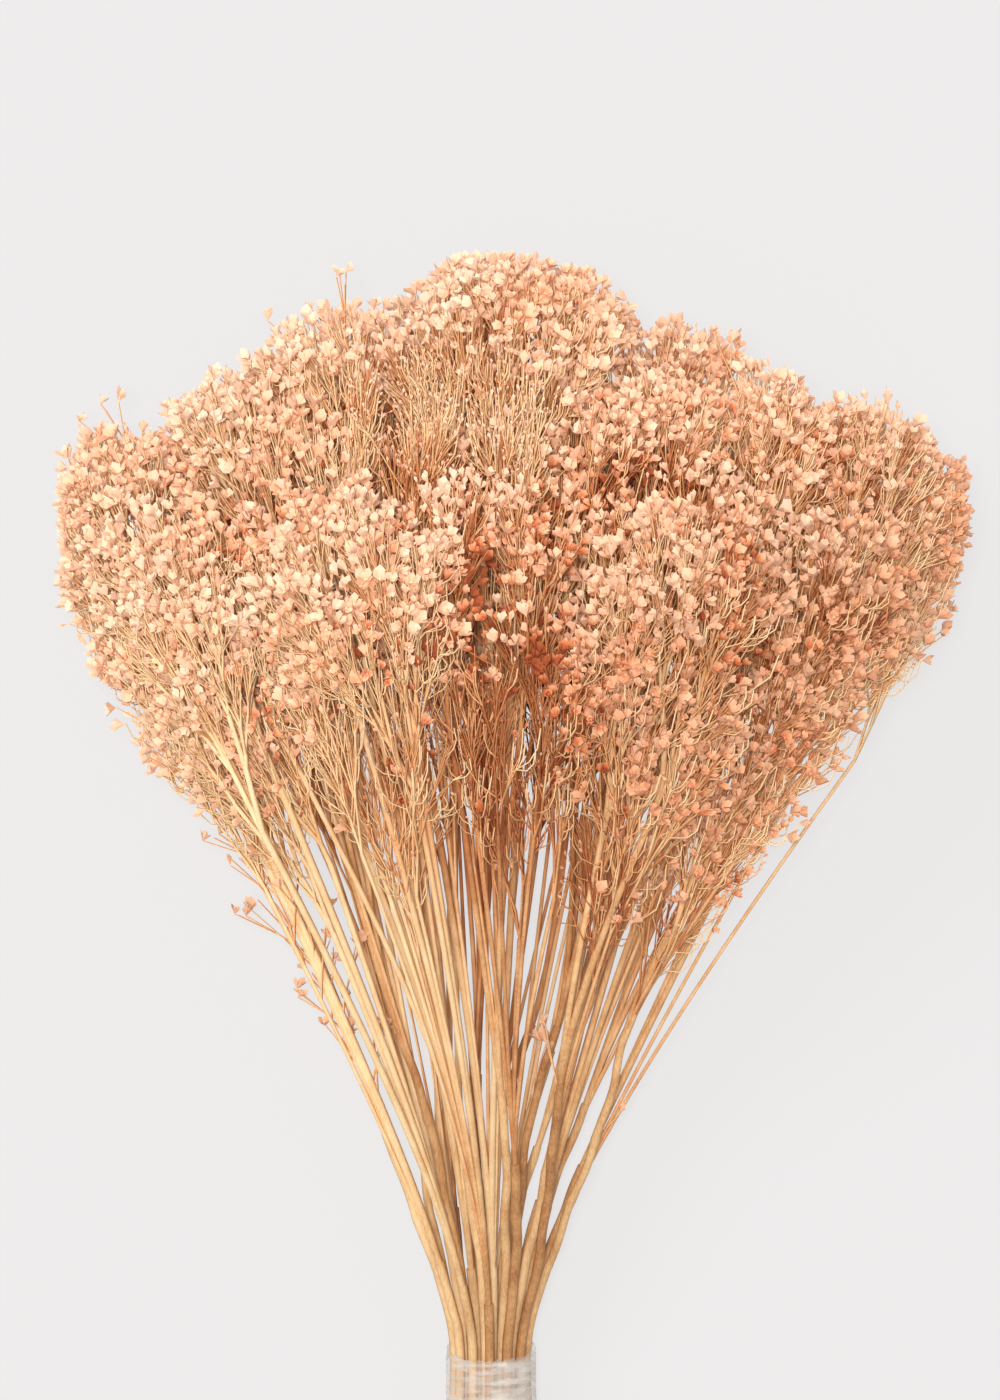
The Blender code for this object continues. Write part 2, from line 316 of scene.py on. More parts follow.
# Each piece's shade carries its own tone with painted shade taken off it: for low stems, right-hand sprays,
# hollows and the head's middle.
shade = add_node(tree, "ShaderNodeAttribute", attribute_name="shade")
tone = add_node(
    tree, "ShaderNodeMath", {0: blotches.outputs[0], 2: shade.outputs["Fac"]}, {1: BLOTCH_SHARE},
    operation="MULTIPLY_ADD",
)
tone = add_node(
    tree, "ShaderNodeMath", {0: fibres.outputs[0], 2: tone.outputs[0]}, {1: FIBRE_SHARE},
    operation="MULTIPLY_ADD",
)
tone = add_node(tree, "ShaderNodeMath", {0: tone.outputs[0]}, {1: BARK_TONE}, operation="ADD")
straw = add_node(tree, "ShaderNodeValToRGB", {"Fac": tone.outputs[0]})
set_stops(straw, {0.0: "80492a", 0.3: "bd8a58", 0.6: "e2bb88", 1.0: "f8deb0"})
peach = add_node(tree, "ShaderNodeValToRGB", {"Fac": tone.outputs[0]})
set_stops(peach, {0.0: "a8572f", 0.35: "da8852", 0.65: "f5b479", 1.0: "ffdaa8"})
dye_and_painted_shade = add_node(tree, "ShaderNodeAttribute", attribute_name="dye_and_painted_shade")
bark = add_node(
    tree, "ShaderNodeMix",
    {"Factor": dye_and_painted_shade.outputs["Fac"], MIX_A: straw.outputs["Color"], MIX_B: peach.outputs["Color"]},
    data_type="RGBA",
)
tree.links.new(bark.outputs[MIX_RESULT], shader.inputs["Base Color"])
grain = add_node(
    tree, "ShaderNodeBump", {"Height": fibres.outputs[0]}, {"Strength": 0.35, "Distance": 0.15 * MM}
)
tree.links.new(grain.outputs["Normal"], shader.inputs["Normal"])


# ---- Florets -----------------------------------------------------------------------------------------
# The dried heads: a small papery cup that widens to a ruffled rim, 4 to 7 mm across, some in pairs and
# some still in bud. Every floret in the bundle has one of five shapes, each of a few dozen faces.

HEART_WIDTH = 0.16
HEART_HEIGHT = 0.4
HINGE_OUT, HINGE_UP = 0.05, 0.1
SHOULDER_OUT, SHOULDER_UP = 0.84, 0.74
PETAL_SHARE = 0.6
SLEW = (-0.3, 0.3)
PETAL_REACH = (0.7, 1.25)
PETAL_RISE = (0.72, 1.15)
PETAL_FULLNESS = (0.8, 1.25)
DRIFT_WIDTH = 45 * MM
MOTTLE_WIDTH = 2.2 * MM
RIPE_SHARE = 0.45
DRIFT_SHARE = 0.5
MOTTLE_SHARE = 0.25
PETAL_TONE = 0.02
SHADED_CORNER_WAY = (0.5, -1.0, 0.0)
SHADED_CORNER_FROM = -170 * MM
SHADED_CORNER_TO = -60 * MM
petal_shapes = bpy.data.collections.new("floret_shapes")
bpy.context.scene.collection.children.link(petal_shapes)


def blossom(shape, wide, deep, petals=6, curl=1.0, turn=0.0, squash=1.0, lean=0.0):
    """Adds one blossom to a shape: a closed little cone, and a ring of petals creased down the back."""
    def spot(radius, angle, height):
        across = radius * wide * math.cos(angle) * squash
        return shape.verts.new((
            across * math.cos(lean) + height * deep * math.sin(lean),
            radius * wide * math.sin(angle),
            height * deep * math.cos(lean) - across * math.sin(lean),
        ))

    def closed(*corners):
        for k in range(4):
            shape.faces.new([corner for corner in corners if corner is not corners[k]])

    crumple = np.random.default_rng(int(100 * turn) + petals)
    closed(spot(0, 0, 0), *[spot(HEART_WIDTH, math.tau * k / 3 + turn, HEART_HEIGHT) for k in range(3)])
    for k in range(petals):
        angle = math.tau * (k + crumple.uniform(*SLEW)) / petals + turn
        out, up = 0.5 * crumple.uniform(*PETAL_REACH), crumple.uniform(*PETAL_RISE)
        half = math.tau / petals * PETAL_SHARE * crumple.uniform(*PETAL_FULLNESS)
        closed(
            spot(HINGE_OUT, angle, HINGE_UP),
            spot(SHOULDER_OUT * out, angle - half, SHOULDER_UP * up),
            spot(SHOULDER_OUT * out, angle + half, SHOULDER_UP * up),
            spot(out * curl, angle, up),
        )


def floret_shape(name, blossoms):
    """One floret shape, with its height from stub to rim kept as an attribute for its colour."""
    shape = bmesh.new()
    for settings in blossoms:
        blossom(shape, **settings)
    bmesh.ops.recalc_face_normals(shape, faces=shape.faces)
    mesh = bpy.data.meshes.new(name)
    shape.to_mesh(mesh)
    shape.free()
    mesh.materials.append(dyed_petal)
    heights = [v.co.z for v in mesh.vertices]
    mesh.attributes.new("ripeness", "FLOAT", "POINT").data.foreach_set(
        "value", [min(1.0, max(0.0, h / max(heights))) for h in heights]
    )
    floret = bpy.data.objects.new(name, mesh)
    petal_shapes.objects.link(floret)


# Petals, dipped in dye and dried until they are like tissue paper: matt, orange at the stub and light peach
# at the rim, in slow drifts over the whole head, and a greyish pink multiplied in toward its lower right:
# painted shade on the side away from the upper-left lamp, with a slightly pinker beige.
dyed_petal, tree, shader = new_material("dyed papery petal")
shader.inputs["Roughness"].default_value = 0.75
shader.inputs["Specular IOR Level"].default_value = 0.3
place = add_node(tree, "ShaderNodeTexCoord")
drifts = add_node(
    tree, "ShaderNodeTexNoise", {"Vector": place.outputs["Object"]}, {"Scale": 1 / DRIFT_WIDTH, "Detail": 2.0}
)
mottle = add_node(
    tree, "ShaderNodeTexNoise", {"Vector": place.outputs["Object"]}, {"Scale": 1 / MOTTLE_WIDTH}
)
ripe = add_node(tree, "ShaderNodeAttribute", attribute_name="ripeness")
# This blush carries painted light and shade as well as each floret's own tint; the ramp's darkest stop is
# reached only where shade is painted.
blush_and_painted_light = add_node(tree, "ShaderNodeAttribute", attribute_name="shade")
level = add_node(
    tree, "ShaderNodeMath", {0: ripe.outputs["Fac"], 2: blush_and_painted_light.outputs["Fac"]}, {1: RIPE_SHARE},
    operation="MULTIPLY_ADD",
)
level = add_node(
    tree, "ShaderNodeMath", {0: drifts.outputs[0], 2: level.outputs[0]}, {1: DRIFT_SHARE},
    operation="MULTIPLY_ADD",
)
level = add_node(
    tree, "ShaderNodeMath", {0: mottle.outputs[0], 2: level.outputs[0]}, {1: MOTTLE_SHARE},
    operation="MULTIPLY_ADD",
)
level = add_node(tree, "ShaderNodeMath", {0: level.outputs[0]}, {1: PETAL_TONE}, operation="ADD")
petal = add_node(tree, "ShaderNodeValToRGB", {"Fac": level.outputs[0]})
set_stops(
    petal, {0.0: "b9623a", 0.14: "ee9662", 0.3: "fdc399", 0.55: "fdceab", 0.8: "fcd5b5", 1.0: "fcdcc0"}
)
# Painted shade toward the head's lower right, away from the upper-left lamp, with a slightly pinker beige.
toward_corner = add_node(
    tree, "ShaderNodeVectorMath", {0: place.outputs["Object"]}, {1: SHADED_CORNER_WAY}, operation="DOT_PRODUCT"
)
corner_shade = add_node(
    tree, "ShaderNodeMapRange", {"Value": toward_corner.outputs["Value"]},
    {"From Min": SHADED_CORNER_FROM, "From Max": SHADED_CORNER_TO, "To Min": 0.0, "To Max": 1.0},
    interpolation_type="SMOOTHSTEP",
)
corner_shaded = add_node(
    tree, "ShaderNodeMix", {"Factor": corner_shade.outputs[0], MIX_A: petal.outputs["Color"]},
    {MIX_B: linear("eaddd2")}, data_type="RGBA", blend_type="MULTIPLY",
)
tree.links.new(corner_shaded.outputs[MIX_RESULT], shader.inputs["Base Color"])

floret_shape("shape_a_open_star", [dict(wide=1.0, deep=0.8)])
floret_shape("shape_b_goblet", [dict(wide=0.9, deep=0.9, petals=5, curl=0.8, turn=0.6)])
floret_shape("shape_c_tight_bud", [dict(wide=0.6, deep=1.0, petals=3, curl=0.3)])
floret_shape("shape_d_tousled", [dict(wide=1.15, deep=0.85, squash=0.6, turn=0.3)])
floret_shape("shape_e_pair", [
    dict(wide=0.85, deep=0.8, petals=4, turn=0.2, lean=0.6),
    dict(wide=0.75, deep=0.75, petals=4, curl=0.85, turn=1.1, lean=-0.5),
])


# ---- From strands to wood and florets ----------------------------------------------------------------
# One Geometry Nodes tree turns the lines of a stem or spray into round wood and sets a floret on each
# lone point. Fine twigs have three sides and thick ones more, which keeps the whole bundle light.

READ = "GeometryNodeInputNamedAttribute"
FINE_SIDES = 3
SPIN_SEED = 7
wood_and_florets = bpy.data.node_groups.new("wood and florets", "GeometryNodeTree")
tree = wood_and_florets
tree.interface.new_socket("Geometry", in_out="INPUT", socket_type="NodeSocketGeometry")
thick_sides = tree.interface.new_socket("Thick Sides", in_out="INPUT", socket_type="NodeSocketInt")
thick_from = tree.interface.new_socket("Thick From", in_out="INPUT", socket_type="NodeSocketFloat")
tree.interface.new_socket("Geometry", in_out="OUTPUT", socket_type="NodeSocketGeometry")
inside = add_node(tree, "NodeGroupInput")

# The florets' points are sorted out from the lines, and the thick lines from the fine ones.
radius = add_node(tree, READ, inputs={"Name": "radius"}, data_type="FLOAT")
size = add_node(tree, READ, inputs={"Name": "size"}, data_type="FLOAT")
kind = add_node(tree, READ, inputs={"Name": "kind"}, data_type="INT")
aim = add_node(tree, READ, inputs={"Name": "aim"}, data_type="FLOAT_VECTOR")
is_floret = add_node(
    tree, "FunctionNodeCompare", {2: kind.outputs[0]}, {3: 0}, data_type="INT", operation="GREATER_EQUAL"
)
sorted_out = add_node(
    tree, "GeometryNodeSeparateGeometry", {"Geometry": inside.outputs[0], "Selection": is_floret.outputs[0]}
)
lines = add_node(tree, "GeometryNodeMeshToCurve", {"Mesh": sorted_out.outputs["Inverted"]})
is_thick = add_node(
    tree, "FunctionNodeCompare", {0: radius.outputs[0], 1: inside.outputs["Thick From"]},
    data_type="FLOAT", operation="GREATER_THAN",
)
by_width = add_node(
    tree, "GeometryNodeSeparateGeometry", {"Geometry": lines.outputs[0], "Selection": is_thick.outputs[0]},
    domain="CURVE",
)

# Wood: a round section drawn along each line, with closed ends.
fine_section = add_node(
    tree, "GeometryNodeCurvePrimitiveCircle", inputs={"Resolution": FINE_SIDES, "Radius": 1.0}
)
thick_section = add_node(
    tree, "GeometryNodeCurvePrimitiveCircle", {"Resolution": inside.outputs["Thick Sides"]}, {"Radius": 1.0}
)
wood = add_node(tree, "GeometryNodeJoinGeometry")
for width, section in (("Inverted", fine_section), ("Selection", thick_section)):
    round_wood = add_node(
        tree, "GeometryNodeCurveToMesh",
        {"Curve": by_width.outputs[width], "Profile Curve": section.outputs[0], "Scale": radius.outputs[0]},
        {"Fill Caps": True},
    )
    tree.links.new(round_wood.outputs[0], wood.inputs[0])
smooth_wood = add_node(tree, "GeometryNodeSetShadeSmooth", {"Geometry": wood.outputs[0]})
barked = add_node(
    tree, "GeometryNodeSetMaterial", {"Geometry": smooth_wood.outputs[0]}, {"Material": dried_straw}
)

# Florets: the shape of its kind on each point, opening along its aim, with a turn of its own.
shapes = add_node(
    tree, "GeometryNodeCollectionInfo", inputs={"Collection": petal_shapes, "Separate Children": True}
)
facing = add_node(tree, "FunctionNodeAlignRotationToVector", {"Vector": aim.outputs[0]}, axis="Z")
spin = add_node(
    tree, "FunctionNodeRandomValue", inputs={2: 0.0, 3: math.tau, "Seed": SPIN_SEED}, data_type="FLOAT"
)
spun = add_node(
    tree, "FunctionNodeAxisAngleToRotation", {"Angle": spin.outputs[1]}, {"Axis": (0, 0, 1)}
)
turned = add_node(
    tree, "FunctionNodeRotateRotation", {"Rotation": facing.outputs[0], "Rotate By": spun.outputs[0]},
    rotation_space="LOCAL",
)
florets = add_node(
    tree, "GeometryNodeInstanceOnPoints",
    {
        "Points": sorted_out.outputs["Selection"],
        "Instance": shapes.outputs[0],
        "Instance Index": kind.outputs[0],
        "Rotation": turned.outputs[0],
        "Scale": size.outputs[0],
    },
    {"Pick Instance": True},
)
made = add_node(tree, "GeometryNodeRealizeInstances", {"Geometry": florets.outputs[0]})
dyed = add_node(tree, "GeometryNodeSetMaterial", {"Geometry": made.outputs[0]}, {"Material": dyed_petal})
whole = add_node(tree, "GeometryNodeJoinGeometry", {0: dyed.outputs[0]})
tree.links.new(barked.outputs[0], whole.inputs[0])
add_node(tree, "NodeGroupOutput", {0: whole.outputs[0]})


def grown(name, strands, sides, thick_radius):
    """Turns strands into a plain mesh piece of wood and florets."""
    source = bpy.data.objects.new(name + "_lines", strands.mesh(name + "_lines"))
    bpy.context.scene.collection.objects.link(source)
    maker = source.modifiers.new("wood and florets", "NODES")
    maker.node_group = wood_and_florets
    maker[thick_sides.identifier] = sides
    maker[thick_from.identifier] = thick_radius
    graph = bpy.context.evaluated_depsgraph_get()
    mesh = bpy.data.meshes.new_from_object(source.evaluated_get(graph))
    mesh.name = name
    bpy.data.objects.remove(source)
    piece = bpy.data.objects.new(name, mesh)
    bpy.context.scene.collection.objects.link(piece)
    return piece


# ---- Stems -------------------------------------------------------------------------------------------
# Twenty-nine dried woody stems, smooth straw bark over pith, cut square at the foot. Each follows its
# solid's centre line from the cut to its main fork, with the small kinks and swollen knots of a grown twig.

STEM_COUNT = 29
STEM_STEP = 5 * MM
RING_GAP = 5 * MM
STEM_SIDES = 8
STEM_THICK_FROM = 0.5 * MM
STEM_SEED = 41
HELD_LENGTH = 110 * MM
FREES_OVER = 50 * MM
FORK_EASE = 20 * MM
KINK = 0.9 * MM
KINKS_ACROSS = (9 * MM, 21 * MM)
KINKS_UPWARD = (11 * MM, 17 * MM)
TAPER = 0.12
TAPER_FROM = 100 * MM
TAPER_LENGTH = 150 * MM
KNOT_SPACING = (20 * MM, 44 * MM)
KNOT_SWELL = 0.18
KNOT_LENGTH = 1.6 * MM
STEM_SHADE = (0.2, 0.88)
LOW_STEM_HEIGHT = 60 * MM
LOW_STEM_PAINTED_SHADE = 0.5
LIMB_SHARE = 0.88
BARK_RING = 0.35 * MM
PITH_SINK = 0.25 * MM
PORE_WIDTH = 0.3 * MM


def ring_centres(node):
    """The middle of each ring of a stem's solid, from its foot to its fork, and the stem's radius."""
    corners = np.array([v.co[:] for v in node.data.vertices])
    height = corners @ ALONG
    order = np.argsort(height)
    rings = np.split(order, np.flatnonzero(np.diff(height[order]) > RING_GAP) + 1)
    centres = np.array([np.unique(corners[ring].round(5), axis=0).mean(axis=0) for ring in rings])
    return centres, np.linalg.norm(corners[rings[0]] - centres[0], axis=1).max()


def smooth_line(points, step):
    """Points every step or so along a smooth curve through the given points."""
    line = [Vector(p) for p in points]
    line = [2 * line[0] - line[1], *line, 2 * line[-1] - line[-2]]
    result = []
    for a, b, c, d in zip(line, line[1:], line[2:], line[3:]):
        count = max(1, round((c - b).length / step))
        for k in range(count):
            t = k / count
            bend = (2 * a - 5 * b + 4 * c - d) * t**2 + (3 * b - a - 3 * c + d) * t**3
            result.append(0.5 * (2 * b + (c - a) * t + bend))
    return np.array([*result, line[-2]])


# The pith inside the straw, cut with shears and dried: soft, matt and full of fine pores, cream at the
# middle of each foot with a browner speckle.
cut_pith, tree, shader = new_material("cut straw pith")
shader.inputs["Roughness"].default_value = 0.95
shader.inputs["Specular IOR Level"].default_value = 0.1
place = add_node(tree, "ShaderNodeTexCoord")
pores = add_node(
    tree, "ShaderNodeTexVoronoi", {"Vector": place.outputs["Object"]}, {"Scale": 1 / PORE_WIDTH}, feature="F1"
)
cream = add_node(tree, "ShaderNodeValToRGB", {"Fac": pores.outputs["Distance"]})
set_stops(cream, {0.0: "a9824f", 0.35: "e8cf9f", 1.0: "f6e6c4"})
tree.links.new(cream.outputs["Color"], shader.inputs["Base Color"])


def show_pith(stem, foot):
    """Cuts the foot of a stem open: a thin ring of bark round soft pale pith, which has shrunk a little."""
    stem.data.materials.append(cut_pith)
    shape = bmesh.new()
    shape.from_mesh(stem.data)
    ends = [face for face in shape.faces if len(face.verts) > 4]
    cap = min(ends, key=lambda face: (face.calc_center_median() - foot).length)
    bmesh.ops.inset_region(shape, faces=[cap], thickness=BARK_RING, use_even_offset=True)
    cap.smooth = False
    cap.material_index = 1
    bmesh.ops.poke(shape, faces=[cap], offset=-PITH_SINK)
    shape.to_mesh(stem.data)
    shape.free()


def wavering(gone, waves, phases):
    """A slow uneven sway along a stem, between -1 and 1."""
    return np.sin(gone / waves[0] + phases[0]) * np.sin(gone / waves[1] + phases[1])


draw = np.random.default_rng(STEM_SEED)
stem_lines = {}
for number in range(1, STEM_COUNT + 1):
    node = f"stem_{number:02d}"
    centres, radius = ring_centres(frame["nodes"][node])
    line = smooth_line(centres, STEM_STEP)
    gone = np.concatenate(([0], np.cumsum(np.linalg.norm(np.diff(line, axis=0), axis=1))))
    free = np.clip((gone - HELD_LENGTH) / FREES_OVER, 0, 1) * np.clip((gone[-1] - gone) / FORK_EASE, 0, 1)
    phases = draw.uniform(0, math.tau, 4)
    line[:, 0] += KINK * free * wavering(gone, KINKS_ACROSS, phases[:2])
    line[:, 2] += KINK * free * wavering(gone, KINKS_UPWARD, phases[2:])
    radii = np.full(len(line), radius) * (1 - TAPER * np.clip((gone - TAPER_FROM) / TAPER_LENGTH, 0, 1))
    knot = draw.uniform(*KNOT_SPACING)
    while knot < gone[-1]:
        radii *= 1 + KNOT_SWELL * free * np.exp(-(((gone - knot) / KNOT_LENGTH) ** 2))
        knot += draw.uniform(*KNOT_SPACING)
    # Painted shade: stems that lie low in the bundle, under the others, get a lower tone.
    lowness = np.clip((LOW_STEM_HEIGHT - line[len(line) // 2, 2]) / LOW_STEM_HEIGHT, 0, 1)
    own_shade = draw.uniform(*STEM_SHADE) - LOW_STEM_PAINTED_SHADE * lowness
    strands = Strands()
    strands.line(line, radii, own_shade)
    stem = grown(f"straw_{node}", strands, STEM_SIDES, STEM_THICK_FROM)
    show_pith(stem, Vector(line[0]))
    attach(stem, "root")
    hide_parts(node)
    stem_lines[number] = (line, radius * LIMB_SHARE, own_shade)


# ---- Where the florets stand -------------------------------------------------------------------------
# Florets crowd where a crown meets open air, in tufts and rounded clumps, and thin out toward the head's
# hem, where bare twigs show instead. Hollows part the clumps, and near the top the buds are small and golden.

TRIES_PER_AREA = 2.4
FLORET_GAP = 3.4 * MM
FLORET_WIDTH = (4.2 * MM, 7.2 * MM)
BUD_WIDTH = (2.0 * MM, 3.4 * MM)
TINY_BUD = 2
FLORET_KINDS = (0.32, 0.27, 0.10, 0.19, 0.12)
SKIN_DEPTH = 0.5 * MM
THINNEST_CROWN = 6 * MM
RAY_LIFT = 1.5 * MM
RAY_REACH = 70 * MM
LEAST_OPEN = 0.03
UNDERSIDE = -0.25
UNDERSIDE_CROWDING = 0.4
STRAY_FLORETS = 0.04
LUSH_SPRAYS = (1, 4, 5, 10, 11, 12, 14, 15, 22, 23)
LUSH_GAP = 0.9
LUSH_EVENNESS, THIN_EVENNESS = 0.95, 0.7
TUFT_CROWDING = 2.2
TUFT_WIDTH = 9 * MM
TUFT_RISE = 5 * MM
LOBE_WIDTH = 24 * MM
LOBE_RISE = 13 * MM
TIP_MARGIN = 3 * MM
LOW_MARGIN = np.array((3, 3, 7.5)) * MM
TOP_EASE = 25 * MM

# Depths below a crown's skin, in millimetres: how often each comes up, how far a hollow sinks, and how far
# florets come forward where they are shut in.
DEPTHS = (-7.0, -1.5, 2.0, 8.0, 16.0)
DEPTH_SHARES = (0.04, 0.28, 0.36, 0.22, 0.10)
DEPTH_SPREAD = (-1.5, 2.0)
DEEP = 5
HOLLOW_DEPTH = 16
SHUT_IN_RISE = 8
HOLLOW_FROM = 0.45
HOLLOW_ABOVE = 90 * MM

# Whiskers: pale bare twigs that run over the florets and end proud of them, at depths in millimetres too.
WHISKERS = 0.2
WHISKER_OPENNESS = 0.3
WHISKER_DEPTH = (-6, -1)
BARE_TWIGS = 0.3
BUD_SHARE = 0.5
SPARSE_UNDER = 0.5

# The golden patch near the top: its middle and half-widths, and how its buds crowd and scatter. Their
# scatter across, along and upward is in millimetres.
GOLDEN_MIDDLE = np.array((-25, 203)) * MM
GOLDEN_REACH = np.array((46, 26)) * MM
GOLDEN_EDGE = (0.6, 1.1)
GOLDEN_TRIES = 3
GOLDEN_GAP = 0.6
GOLDEN_SCATTER = ((-3, 3), (-6, 18), (0, 12))

# The hem under the head and the brow over it, as heights at places across the bundle.
HEM_ACROSS = np.array((-170, -130, -100, -60, 5, 30, 60, 100, 140, 180)) * MM
HEM_HEIGHT = np.array((40, 12, 44, 88, 96, 58, 0, 4, 72, 110)) * MM
HEM_SOFTNESS = 45 * MM
BROW_ACROSS = np.array((-145, -101, -87, -68, -22, 8, 36, 68, 90, 107, 123, 148, 172)) * MM
BROW_HEIGHT = np.array((207, 234, 248, 262, 273, 270, 262, 250, 240, 228, 212, 216, 190)) * MM
BROW_DEPTH = (-1 * MM, 9 * MM)

# What lightens or deepens a floret's colour: its own random blush, and painted light and shade, lighter
# toward the upper-left lamp and on raised lobes, darker deep in the crown, where it is shut in and in the
# hollows.
BLUSH_SPREAD = (-0.04, 0.10)
LIT_SIDE = Vector((-0.6, 0.35, 0.72))
LIT_SIDE_MIDDLE = 0.5
LIT_SIDE_PAINTED_LIGHT = 0.2
DEEP_PAINTED_SHADE = 0.15
SHUT_IN_PAINTED_SHADE = 0.35
LOBE_PAINTED_LIGHT = 0.45
HOLLOW_PAINTED_SHADE = 0.6


def solid_triangles(node):
    """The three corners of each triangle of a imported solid."""
    corners = np.array([v.co[:] for v in node.data.vertices])
    return corners[np.array([p.vertices[:] for p in node.data.polygons])]


def skin_of(corners):
    """A surface that rays can hit, from its triangles' corners in order."""
    faces = [(k, k + 1, k + 2) for k in range(0, len(corners), 3)]
    return BVHTree.FromPolygons([tuple(c) for c in corners], faces)


spray_triangles = {
    n: solid_triangles(frame["nodes"][f"flower_spray_{n:02d}"]) for n in range(1, STEM_COUNT + 1)
}
whole_head = skin_of(np.concatenate([t.reshape(-1, 3) for t in spray_triangles.values()]))
LOOKS = [Vector(v).normalized() for v in ((0, 0, 1), (1, 0, 0.6), (-1, 0, 0.6), (0, 1, 0.6), (0, -1, 0.6))]


def openness(point, normal):
    """How much open air a place on a crown faces, from 0 deep between sprays to 1 on the head's outside."""
    turn = Vector((0, 0, 1)).rotation_difference(normal)
    clear = 0
    for look in LOOKS:
        ray = turn @ look
        hit = whole_head.ray_cast(point + ray * RAY_LIFT, ray, RAY_REACH)
        clear += hit[0] is None
    return clear / len(LOOKS)


class Crown:
    """The ends of a spray's twigs: their places, the way each faces, and the floret on it, if any."""

    def __init__(self, number, draw):
        self.draw = draw
        self.tips, self.ways, self.sizes, self.kinds, self.blushes_and_painted_light, self.proud = [], [], [], [], [], []
        self.taken = {}
        corners = spray_triangles[number]
        sides = np.cross(corners[:, 1] - corners[:, 0], corners[:, 2] - corners[:, 0])
        areas = np.linalg.norm(sides, axis=1) / 2
        normals = sides / (2 * areas[:, None] + 1e-12)
        skin = skin_of(corners.reshape(-1, 3))
        lush = number in LUSH_SPRAYS
        self.gap = FLORET_GAP * (LUSH_GAP if lush else 1.0)
        self.evenness = LUSH_EVENNESS if lush else THIN_EVENNESS
        tries = int(areas.sum() / FLORET_GAP**2 * TRIES_PER_AREA)
        for pick in draw.choice(len(corners), tries, p=areas / areas.sum()):
            a, b = draw.random(2)
            if a + b > 1:
                a, b = 1 - a, 1 - b
            corner = corners[pick]
            spot = Vector(corner[0] + a * (corner[1] - corner[0]) + b * (corner[2] - corner[0]))
            normal = Vector(normals[pick])
            wall = skin.ray_cast(spot - normal * SKIN_DEPTH, -normal)
            if wall[0] is None or (wall[0] - spot).length < THINNEST_CROWN:
                continue
            above_hem = spot.y - np.interp(spot.x, HEM_ACROSS, HEM_HEIGHT)
            ripe = min(1.0, max(0.0, above_hem / HEM_SOFTNESS))
            crowding = STRAY_FLORETS + (1 - STRAY_FLORETS) * ripe**2 * (3 - 2 * ripe)
            off_golden = (np.array(spot[:2]) - GOLDEN_MIDDLE) / GOLDEN_REACH
            golden = normal.z > 0 and off_golden @ off_golden < draw.uniform(*GOLDEN_EDGE)
            for _ in range(GOLDEN_TRIES if golden else 1):
                self.consider(spot, normal, crowding, golden)
        self.tips, self.ways = np.array(self.tips), np.array(self.ways)

    def consider(self, spot, normal, crowding, golden):
        """Adds a twig's end near a place on the crown's skin, unless it is crowded or shut in there."""
        draw = self.draw
        clear = openness(spot, normal)
        if normal.z < UNDERSIDE:
            crowding *= UNDERSIDE_CROWDING
        # Painted shade for florets in the hollows and under the head's middle.
        painted_shade = painted_shade_at(spot) * (normal.z > 0)
        hollow = painted_shade > HOLLOW_FROM and spot.y > HOLLOW_ABOVE
        tuft = noise.noise(spot / TUFT_WIDTH)
        lobe = noise.noise(spot / LOBE_WIDTH)
        crowding *= min(1.0, self.evenness + TUFT_CROWDING * tuft)
        bare = draw.random() > crowding
        if draw.random() > (LEAST_OPEN + clear) * (BARE_TWIGS if bare else 1.0):
            return
        depth = draw.choice(DEPTHS, p=DEPTH_SHARES) + draw.uniform(*DEPTH_SPREAD)
        proud = (
            not hollow and clear > WHISKER_OPENNESS
            and draw.random() < WHISKERS * (1 + golden + (crowding < SPARSE_UNDER))
        )
        if proud:
            depth = draw.uniform(*WHISKER_DEPTH)
        if hollow:
            depth += HOLLOW_DEPTH
        spot = self.lifted(spot, normal, TUFT_RISE * tuft + LOBE_RISE * lobe, clear, depth)
        if golden:
            spot += Vector([draw.uniform(*reach) for reach in GOLDEN_SCATTER]) * MM
        brow = np.interp(spot.x, BROW_ACROSS, BROW_HEIGHT)
        if spot.y > brow - TIP_MARGIN:
            spot.y = brow - draw.uniform(*BROW_DEPTH)
        spot = Vector(np.clip(spot, packed_box[0] + LOW_MARGIN, packed_box[1] - TIP_MARGIN))
        if not self.takes(spot, self.gap * (GOLDEN_GAP if golden else 1.0)):
            return
        self.tips.append(spot[:])
        self.ways.append(normal[:])
        small = golden or ((bare or proud) and draw.random() < BUD_SHARE)
        self.proud.append(proud)
        self.sizes.append(draw.uniform(*(BUD_WIDTH if small else FLORET_WIDTH)))
        self.kinds.append(-1 if bare and not small else TINY_BUD if small else draw.choice(5, p=FLORET_KINDS))
        # Painted light toward the upper-left lamp and on raised lobes; painted shade on deep, shut-in and
        # hollow florets.
        painted_light = LIT_SIDE_PAINTED_LIGHT * (normal @ LIT_SIDE - LIT_SIDE_MIDDLE) + LOBE_PAINTED_LIGHT * lobe
        painted_darkening = DEEP_PAINTED_SHADE * (depth > DEEP) + SHUT_IN_PAINTED_SHADE * (1 - clear) ** 2 + HOLLOW_PAINTED_SHADE * painted_shade
        self.blushes_and_painted_light.append(draw.uniform(*BLUSH_SPREAD) + painted_light - painted_darkening)

    def lifted(self, spot, normal, rise, clear, depth):
        """A place moved off the crown's skin, and less so close to the top, which keeps its round outline."""
        lift = rise + (SHUT_IN_RISE * (1 - clear) - depth) * MM
        ease = 1.0 if lift < 0 else min(1.0, (packed_box[1][1] - spot.y) / TOP_EASE)
        return spot + normal * lift * ease

